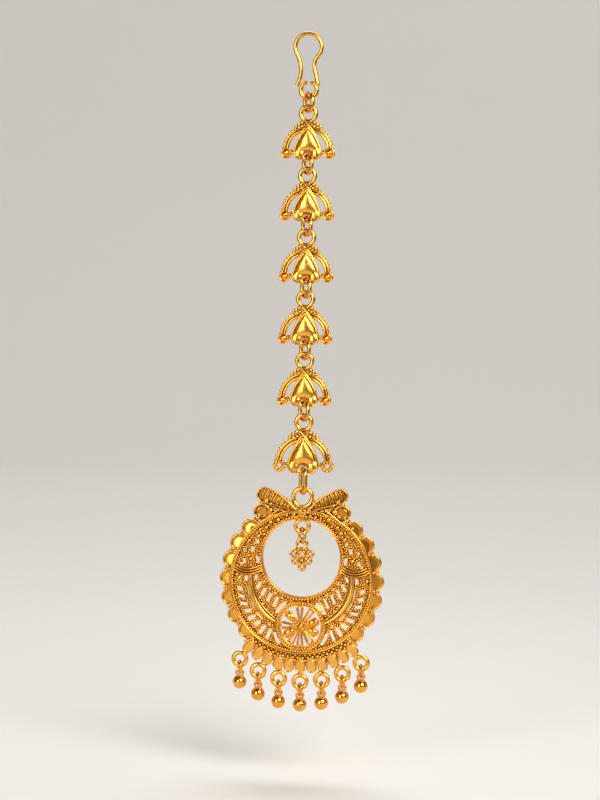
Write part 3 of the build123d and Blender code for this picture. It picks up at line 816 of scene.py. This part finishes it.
dice = np.random.default_rng(7)
grains, rings = [], []
for radius, tries in FILL_GRAINS:
    spread = np.sqrt(dice.uniform(0, 1, tries)) * FILL_REACH
    turned = dice.uniform(0, 2 * pi, tries)
    rolls = dice.uniform(0, 1, tries)
    for reach, angle, roll in zip(spread, turned, rolls):
        x, z = reach * cos(angle), RIM_CENTRE + reach * sin(angle)
        apart = np.hypot(taken[:, 0] - x, taken[:, 1] - z)
        if hypot(x, z) < OPENING or np.any(apart < taken[:, 2] + radius * FILL_OVERLAP):
            continue
        if rests(x, z, radius * FILL_FOOT):
            taken = np.vstack([taken, (x, z, radius)])
            if radius > RING_GRAIN_OVER and roll < RING_GRAIN_SHARE:
                rings.append((x, PLATE_FRONT - RING_LIFT, z, radius))
            else:
                grains.append((x, PLATE_FRONT - FILL_LIFT * radius, z, radius))
settle_pendant(granules("plate_grains", grains), "plate_grains", filigree_gold)
deselect()
bpy.ops.mesh.primitive_torus_add(
    major_radius=RING_GRAIN[0],
    minor_radius=RING_GRAIN[1],
    major_segments=14,
    minor_segments=6,
    rotation=(pi / 2, 0, 0),
)
bpy.ops.object.transform_apply(rotation=True)
ring_grains = joined_copies("ring_grains", bpy.context.object, rings)
settle_pendant(ring_grains, "ring_grains", filigree_gold)


# ------------------------------------------------------------------------------- bands
# Round the opening, the rim and the rosette run smooth wires with a milled, beaded wire between
# them. They are bent to fit and soldered to the raised bands of the frame.
ROSETTE_Z = -15.1
BANDS = [
    # centre      smooth wires   wire   beads  bead   pitch
    (0.0,         (8.78,),       0.19,  9.22,  0.3,   0.64),
    (RIM_CENTRE,  (15.84,),      0.22,  15.32, 0.27,  0.58),
    (ROSETTE_Z,   (4.7, 5.44),   0.16,  5.07,  0.29,  0.62),
]
BAND_DEPTH = -0.85
BAND_SUNK = 0.4             # share of a wire's radius that it lies behind the beads
BAND_STEPS = 120

pieces, beads = [], []
for centre, smooth, wire, bead_reach, bead, pitch in BANDS:
    depth = BAND_DEPTH + BAND_SUNK * wire
    runs = [circle((0, centre), reach, depth, BAND_STEPS) for reach in smooth]
    pieces.append(wires("band_wires", runs, wire, closed=True))
    count = int(2 * pi * bead_reach / pitch)
    run = circle((0, centre), bead_reach, BAND_DEPTH, count)
    beads.append(np.column_stack([run, np.full(count, bead)]))
settle_pendant(fuse("band_wires", pieces), "band_wires", wire_gold)
settle_pendant(granules("band_beads", np.vstack(beads)), "band_beads", filigree_gold)


# ------------------------------------------------------------------------------- rosette
# An open flower of ten petals. Each petal is edged with wire; four are filled with cupped, polished
# leaves, and the hub carries a domed boss in a ring of grains.
ROSETTE_FRONT = -0.7
FEWEST_CORNERS = 8          # of a petal's outline; the loops with no more are slivers
PETAL_WIRE = 0.13
FILLED_PETALS = (17, -22, -150, 137)        # degrees from +X
LEAF_REACH = 2.95
LEAF_SIZE = (1.15, 0.4, 0.68)
HUB_RING = (0.98, 0.27, -0.85, 9)   # reach, grain, depth and number of grains
HUB_BOSS = (0, -1.02, ROSETTE_Z, 0.42)

petal_runs = [loop for loop in front_outlines(ROSETTE_FRONT) if len(loop) > FEWEST_CORNERS]
petal_wires = wires("petal_wires", petal_runs, PETAL_WIRE, closed=True)
settle_pendant(petal_wires, "petal_wires", wire_gold)
leaves = []
for angle in FILLED_PETALS:
    deselect()
    bpy.ops.mesh.primitive_uv_sphere_add(segments=20, ring_count=10, radius=1)
    leaf = bpy.context.object
    turn_leaf = Matrix.Rotation(-radians(angle), 4, "Y")
    x, z = LEAF_REACH * cos(radians(angle)), ROSETTE_Z + LEAF_REACH * sin(radians(angle))
    place = Matrix.Translation((x, ROSETTE_FRONT, z))
    shape = Matrix.Diagonal((*LEAF_SIZE, 1))
    leaf.data.transform(Matrix.Scale(MM, 4) @ place @ turn_leaf @ shape)
    bpy.ops.object.shade_smooth()
    leaves.append(leaf)
settle_pendant(fuse("petal_leaves", leaves), "petal_leaves", wire_gold)
reach, grain, depth, count = HUB_RING
ring = np.column_stack([circle((0, ROSETTE_Z), reach, depth, count), np.full(count, grain)])
settle_pendant(granules("hub_grains", np.vstack([ring, HUB_BOSS])), "hub_grains", wire_gold)


# ------------------------------------------------------------------------------- blades and bars
# A long polished blade curves down each horn beside a fine wire, and three bowed wires, one inside
# the other, cross the horn above it.
BLADE_LINE = ((11.22, -3.5), (9.95, -10.25), (5.1, -14.42))
BLADE_DEPTH = -0.78
BLADE_STEPS = 40
BLADE_TIP = 0.16
BLADE_SWELL = 0.42
BLADE_FLAT = 0.55           # its thickness as a share of its width
BLADE_LIFT = 0.35
FINE_LINE = ((10.62, -3.4), (9.2, -9.75), (4.9, -13.9))
FINE_WIRE = (0.12, -0.8)    # wire and depth
BAR_CENTRE = (11.9, 1.9)
BAR_RADII = (4.6, 5.15, 5.7)
BAR_SPAN = (-125, -55)      # degrees
BAR_WIRE = (0.2, -0.85)

# The blade is widest below its middle and runs out to a blunt tip at both ends.
line = arc_through(*BLADE_LINE, BLADE_DEPTH, BLADE_STEPS)
along = np.linspace(0, 1, BLADE_STEPS)
bulge = np.sin(pi * np.clip(along * 1.05, 0, 1)) ** 1.2 * (0.35 + along)
blades = wires("blades", mirrored(line), BLADE_TIP + BLADE_SWELL * bulge)
blades.data.transform(Matrix.Diagonal((1, BLADE_FLAT, 1, 1)))
blades.data.transform(Matrix.Translation((0, -BLADE_LIFT * MM, 0)))
wire, depth = FINE_WIRE
fine = wires("blade_wires", mirrored(arc_through(*FINE_LINE, depth, BLADE_STEPS)), wire)
wire, depth = BAR_WIRE
runs = []
for reach in BAR_RADII:
    runs += mirrored(arc(BAR_CENTRE, reach, *BAR_SPAN, depth, 24))
settle_pendant(fuse("blades", [blades, fine]), "blades", wire_gold)
settle_pendant(wires("horn_bars", runs, wire), "horn_bars", wire_gold)


# ------------------------------------------------------------------------------- bow
# Two broad leaves and two round lobes of sheet, edged with wire, fan out from a knot under the
# bail. Fine curved wires rib the leaves, each lobe holds a curl, and tendrils run out of the knot.
LEAF_TOP = ((1.2, 10.5), (4.4, 13.55), (8.4, 15.5))
LEAF_TIP = ((8.4, 15.5), (10.15, 13.75), (9.14, 12.16))
LEAF_BOTTOM = ((9.14, 12.16), (5.6, 11.3), (1.2, 9.9))
LEAF_STEPS = 28
LEAF_INSET = 0.17
BOW_DEPTH = -0.85
BOW_EDGE = 0.19
LOBE = (8.9, 9.95)
LOBE_EDGE = 1.73
LOBE_CURL = (1.05, 0.17, -0.6)      # reach, wire and depth
LOBE_CURL_SPAN = (-150, 95)
RIBS = 16
RIB_WIRE = 0.14
RIB_DEPTH = -0.56
RIB_LEAN = (0.16, 0, 0.11)
RIB_BOW = 2.2               # grows towards the leaf's tip
RIB_CUT = 0.72              # share of the leaf past which the ribs end sooner
TENDRIL = (0.2, -0.95)      # wire and depth
TENDRILS = [
    # start          middle         end
    ((0.6, 10.0),    (3.3, 10.35),  (5.6, 9.3)),
    ((5.2, 10.6),    (7.1, 9.2),    (8.6, 7.95)),
]
BOW_GRAIN_DEPTH = -0.75
BOW_GRAINS = [
    # x     z      radius
    (8.0,   12.5,  0.62),
    (9.1,   11.9,  0.4),
    (7.0,   11.75, 0.4),
    (3.1,   12.75, 0.42),
    (3.75,  13.2,  0.32),
    (2.5,   12.2,  0.36),
    (5.6,   10.75, 0.28),
    (6.1,   10.35, 0.26),
    (10.3,  9.2,   0.3),
    (9.6,   8.75,  0.28),
    (10.6,  10.3,  0.28),
    (0.55,  9.75,  0.34),
    (0.6,   10.5,  0.3),
]

top, tip, bottom = [
    arc_through(*three, BOW_DEPTH, LEAF_STEPS) for three in (LEAF_TOP, LEAF_TIP, LEAF_BOTTOM)
]
leaf = offset_loop(np.vstack([top[:-1], tip[:-1], bottom]), -LEAF_INSET)
leaf_edge = wires("leaf_edges", mirrored(leaf), BOW_EDGE, closed=True)
lobe = circle(LOBE, LOBE_EDGE, BOW_DEPTH, 36)
lobe_edge = wires("lobe_edges", mirrored(lobe), BOW_EDGE, closed=True)
reach, wire, depth = LOBE_CURL
curl = wires("lobe_curls", mirrored(arc(LOBE, reach, *LOBE_CURL_SPAN, depth, 24)), wire)
wire, depth = TENDRIL
runs = []
for three in TENDRILS:
    runs += mirrored(arc_through(*three, depth, 20))
tendrils = wires("bow_tendrils", runs, wire)
ribs = []
for share in np.linspace(0.12, 1, RIBS):
    high = top[int(share * (LEAF_STEPS - 1))]
    low = bottom[int((1 - share) * (LEAF_STEPS - 1))]
    lead = np.array(RIB_LEAN) * (0.3 + share)
    middle = (high + low) / 2 + RIB_BOW * lead * share
    run = arc_through(high[[0, 2]], middle[[0, 2]], low[[0, 2]], RIB_DEPTH, 9)
    ribs += mirrored(run[:7] if share > RIB_CUT else run[:8])
rib_wires = wires("leaf_ribs", ribs, RIB_WIRE)
settle_pendant(fuse("bow_wires", [leaf_edge, lobe_edge, curl, tendrils]), "bow_wires", wire_gold)
settle_pendant(rib_wires, "leaf_ribs", filigree_gold)
rows = [(side * x, BOW_GRAIN_DEPTH, z, radius) for x, z, radius in BOW_GRAINS for side in (-1, 1)]
settle_pendant(granules("bow_grains", rows), "bow_grains", filigree_gold)


# ------------------------------------------------------------------------------- scallops
# Flat polished discs lie in wire loops up both sides of the rim, each tipped a little outwards and
# set in towards the rim, so a dark crescent shows beyond it. Grains fill where two loops meet.
SCALLOPS = 7
SCALLOP_FIRST = 47.5        # degrees up from the rim's lowest point
SCALLOP_PITCH = 14.6
DISC_REACH = 16.1
DISC = (1.27, 0.16)         # radius and thickness
DISC_BEVEL = (0.1, 0.07)
DISC_TIP = 6                # degrees outwards
DISC_DEPTH = 0.05
LOOP_REACH = 16.35
LOOP = (1.72, 0.21, -0.1)   # radius, wire and depth
SCALLOP_GRAIN_DEPTH = -0.3
SCALLOP_GRAINS = [
    # reach  aside  radius
    (16.25,  0,     0.4),
    (16.85,  1.1,   0.34),
    (16.85,  -1.1,  0.34),
    (17.35,  0,     0.28),
]


def polished_disc(radius, height):
    """Disc that faces the front, with a narrow bevelled edge, about the origin in mm."""
    deselect()
    bpy.ops.mesh.primitive_cylinder_add(
        vertices=40, radius=radius, depth=height, rotation=(pi / 2, 0, 0)
    )
    disc = bpy.context.object
    bpy.ops.object.transform_apply(rotation=True)
    for polygon in disc.data.polygons:
        polygon.select = polygon.normal.y < -0.9
    bpy.ops.object.mode_set(mode="EDIT")
    bpy.ops.mesh.select_mode(type="FACE")
    bpy.ops.mesh.inset(thickness=DISC_BEVEL[0], depth=DISC_BEVEL[1])
    bpy.ops.object.mode_set(mode="OBJECT")
    bpy.ops.object.shade_smooth_by_angle(angle=radians(25))
    return disc


def beside_rim(reach, angle):
    """Place (x, z) at a reach from the rim's centre, angle in degrees up from its lowest point."""
    turned = radians(angle - 90)
    return reach * cos(turned), RIM_CENTRE + reach * sin(turned)


discs, loops, rows = [], [], []
radius, wire, depth = LOOP
for step in range(SCALLOPS):
    for side in (-1, 1):
        angle = radians(SCALLOP_FIRST + step * SCALLOP_PITCH - 90)
        outwards = Vector((side * cos(angle), 0, sin(angle)))
        x, z = (outwards * LOOP_REACH).xz
        loops.append(circle((x, z + RIM_CENTRE), radius, depth, 36))
        disc = polished_disc(*DISC)
        tip = Matrix.Rotation(radians(DISC_TIP), 4, Vector((0, -1, 0)).cross(outwards))
        place = Vector((0, DISC_DEPTH, RIM_CENTRE)) + outwards * DISC_REACH
        disc.data.transform(Matrix.Scale(MM, 4) @ Matrix.Translation(place) @ tip)
        discs.append(disc)
settle_pendant(fuse("scallop_discs", discs), "scallop_discs", wire_gold)
settle_pendant(wires("scallop_loops", loops, wire, closed=True), "scallop_loops", wire_gold)
for step in range(SCALLOPS + 1):
    for reach, aside, radius in SCALLOP_GRAINS:
        x, z = beside_rim(reach, SCALLOP_FIRST + (step - 0.5) * SCALLOP_PITCH + aside)
        rows += [(x, SCALLOP_GRAIN_DEPTH, z, radius), (-x, SCALLOP_GRAIN_DEPTH, z, radius)]
settle_pendant(granules("scallop_grains", rows), "scallop_grains", filigree_gold)


# ------------------------------------------------------------------------------- tongues
# Eleven long satin plates stand side by side under the rim, each in a thin wire edge and tipped a
# little downwards, below a crowded row of grains. A grain sits on the shank of each drop ring.
SATIN_GOLD = ("F9C163", "F0A84A")
TONGUES_EACH_SIDE = 5
TONGUE_PITCH = 7.6          # degrees
TONGUE_ENDS = (18.2, 19.2)  # reach of the centres of its round ends
TONGUE_TAPER = 0.0001       # by which the outer end's radius is less
TONGUE_PLATE = 0.87
TONGUE_THICK = 0.44
TONGUE_BEVEL = (0.07, 0.05)
TONGUE_BACK = 0.06
TONGUE_TIP = 7              # degrees downwards
TONGUE_EDGE = (1.03, 0.16, -0.14)   # radius at the ends, wire and depth
DROPS_EACH_SIDE = 3
DROP_PITCH = 12.5
SHANK_GRAIN = (20.55, 0.45, -0.35)  # reach, radius and depth
SKIRT_DEPTH = -0.3
SKIRT_GRAINS = [
    # reach aside radius
    (17.15, 0,    0.36),
    (16.85, 1.9,  0.36),
    (16.85, -1.9, 0.36),
    (17.45, 3.8,  0.34),
    (16.35, 0,    0.3),
    (16.3,  3.8,  0.34),
]


def satin_gold():
    """Scratch-brushed gold plate: an even pale satin with faint brush lines down its length."""
    material, tree = new_material("satin_gold")
    place = add_node(tree, "ShaderNodeTexCoord")
    where = {"Vector": place.outputs["Object"]}
    squash = add_node(tree, "ShaderNodeMapping", {"Scale": (1, 1, 0.12)}, where)
    lines = add_node(
        tree,
        "ShaderNodeTexNoise",
        {"Scale": 1 / (0.08 * MM), "Detail": 2},
        {"Vector": squash.outputs["Vector"]},
    )
    tone = add_node(tree, "ShaderNodeTexNoise", {"Scale": 1 / (1.2 * MM), "Detail": 2}, where)
    colour = add_node(
        tree,
        "ShaderNodeMix",
        {"data_type": "RGBA", 6: linear(SATIN_GOLD[0]), 7: linear(SATIN_GOLD[1])},
        {0: tone.outputs["Fac"]},
    )
    gloss = add_node(
        tree,
        "ShaderNodeMapRange",
        {"To Min": 0.22, "To Max": 0.36},
        {"Value": lines.outputs["Fac"]},
    )
    bump = add_node(
        tree,
        "ShaderNodeBump",
        {"Strength": 0.25, "Distance": 0.01 * MM},
        {"Height": lines.outputs["Fac"]},
    )
    finish_metal(tree, colour, gloss, bump)
    return material


def bar_outline(ends, radius, depth):
    """Outline round circles at two (x, z) points, with straight sides that touch both."""
    start, end = ends
    end_radius = radius - TONGUE_TAPER
    run = hypot(end[0] - start[0], end[1] - start[1])
    heading = degrees(atan2(end[1] - start[1], end[0] - start[0]))
    swing = degrees(np.arccos((radius - end_radius) / run))
    far = arc(end, end_radius, heading - swing, heading + swing, depth, 10)
    near = arc(start, radius, heading + swing, heading + 360 - swing, depth, 18)
    return np.vstack([far, near])


plates, edges, rows = [], [], []
edge_radius, edge_wire, edge_depth = TONGUE_EDGE
for step in range(-TONGUES_EACH_SIDE, TONGUES_EACH_SIDE + 1):
    ends = [beside_rim(reach, step * TONGUE_PITCH) for reach in TONGUE_ENDS]
    edges.append(bar_outline(ends, edge_radius, edge_depth))
    outline = bar_outline(ends, TONGUE_PLATE, 0)
    middle = outline.mean(axis=0)
    flat = bpy.data.meshes.new("tongue_plate")
    flat.from_pydata((outline - middle).tolist(), [], [list(range(len(outline)))])
    plate = bpy.data.objects.new("tongue_plate", flat)
    bpy.context.scene.collection.objects.link(plate)
    deselect()
    plate.select_set(True)
    bpy.context.view_layer.objects.active = plate
    bpy.ops.object.mode_set(mode="EDIT")
    bpy.ops.mesh.select_all(action="SELECT")
    bpy.ops.mesh.normals_make_consistent(inside=False)
    bpy.ops.mesh.extrude_region_move(TRANSFORM_OT_translate={"value": (0, -TONGUE_THICK, 0)})
    bpy.ops.mesh.inset(thickness=TONGUE_BEVEL[0], depth=TONGUE_BEVEL[1])
    bpy.ops.mesh.select_all(action="SELECT")
    bpy.ops.mesh.normals_make_consistent(inside=False)
    bpy.ops.object.mode_set(mode="OBJECT")
    bpy.ops.object.shade_smooth_by_angle(angle=radians(25))
    tip = Matrix.Rotation(radians(TONGUE_TIP), 4, "X")
    place = Matrix.Translation((middle[0], TONGUE_BACK, middle[2]))
    flat.transform(Matrix.Scale(MM, 4) @ place @ tip)
    plates.append(plate)
    for reach, aside, radius in SKIRT_GRAINS:
        x, z = beside_rim(reach, step * TONGUE_PITCH + aside)
        rows.append((x, SKIRT_DEPTH, z, radius))
settle_pendant(fuse("tongue_plates", plates), "tongue_plates", satin_gold())
settle_pendant(wires("tongue_edges", edges, edge_wire, closed=True), "tongue_edges", wire_gold)
reach, radius, depth = SHANK_GRAIN
for step in range(-DROPS_EACH_SIDE, DROPS_EACH_SIDE + 1):
    x, z = beside_rim(reach, step * DROP_PITCH)
    rows.append((x, depth, z, radius))
settle_pendant(granules("skirt_grains", rows), "skirt_grains", filigree_gold)


# ------------------------------------------------------------------------------- charm and drops
# The charm is a cluster of little wire rings round grains. Each drop is a hollow ball raised in two
# halves and soldered along its middle, polished like a mirror.
RING_WIRE = (0.2, -0.3)     # wire and depth
CHARM_RINGS = [
    # x      z      radius
    (-1.85,  0.85,  0.68),
    (1.9,    0.85,  0.68),
    (-1.45, -0.72,  0.66),
    (1.5,   -0.72,  0.66),
    (0.05,  -2.0,   0.7),
    (0.05,   0.85,  0.66),
]
CHARM_GRAIN_DEPTH = -0.35
CHARM_GRAINS = [
    # x     z      radius
    (-0.85, 1.85,  0.36),
    (0.9,   1.8,   0.36),
    (0.02, -0.55,  0.42),
    (-0.9,  0.1,   0.26),
    (0.95,  0.1,   0.26),
    (-0.75, -1.4,  0.26),
    (0.8,  -1.4,   0.26),
]

wire, depth = RING_WIRE
runs = [circle((x, z), radius, depth, 20) for x, z, radius in CHARM_RINGS]
settle_pendant(wires("charm_rings", runs, wire, closed=True), "charm_rings", wire_gold)
rows = [(x, CHARM_GRAIN_DEPTH, z, radius) for x, z, radius in CHARM_GRAINS]
settle_pendant(granules("charm_grains", rows), "charm_grains", filigree_gold)
dress("flower_charm", filigree_gold)
for name in nodes:
    if name.startswith("drop_ball"):
        dress(name, wire_gold)
